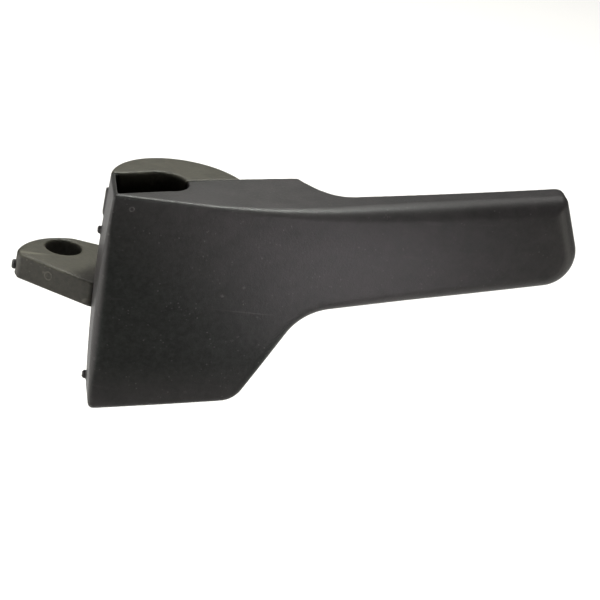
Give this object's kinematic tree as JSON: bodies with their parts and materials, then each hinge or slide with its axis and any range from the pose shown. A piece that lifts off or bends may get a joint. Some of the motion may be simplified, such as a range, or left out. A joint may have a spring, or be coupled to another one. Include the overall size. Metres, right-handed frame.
{
  "type": "car door handle",
  "caption": "Car door release lever with a long flat grip, a sprung vertical pivot and a crank tab that pulls the latch cable",
  "frame": {"origin": "on the pivot axis, at mid height of the barrel end", "axes": "+Z along the pivot axis upwards, +X along the lever towards the grip end, +Y into the door, so the grip's face looks along -Y"},
  "size_m": [0.1208, 0.0363, 0.0602],
  "materials": {
    "cover_plastic": "fine matte moulded grain, charcoal black, lightly scuffed",
    "carrier_plastic": "matte glass-filled nylon, warm dark grey",
    "screw_steel": "zinc plated",
    "bush_plastic": "natural acetal",
    "spring_steel": "oiled spring wire",
    "sleeve_steel": "turned and zinc plated",
    "rubber": "moulded black rubber",
    "foam": "closed-cell foam"
  },
  "bodies": {
    "pivot": {"pivot_sleeve": "sleeve_steel", "foot_washer": "sleeve_steel", "thrust_washer": "bush_plastic", "retaining_ring": "spring_steel"},
    "lever": {"front_cover": "cover_plastic", "rear_carrier": "carrier_plastic", "cover_screws": "screw_steel", "upper_bush": "bush_plastic", "lower_bush": "bush_plastic", "return_spring": "spring_steel", "rest_bumper": "rubber", "tab_bumper": "rubber", "rattle_pads": "foam"}
  },
  "joints": [
    {"name": "lever_pull", "type": "hinge", "parent": "pivot", "child": "lever", "pos_m": [0, 0, 0], "axis": [0, 0, -1], "range_deg": [0, 40], "stiffness_Nm_per_rad": 0.25, "springref_deg": -28.65, "deforming": ["return_spring"]}
  ]
}
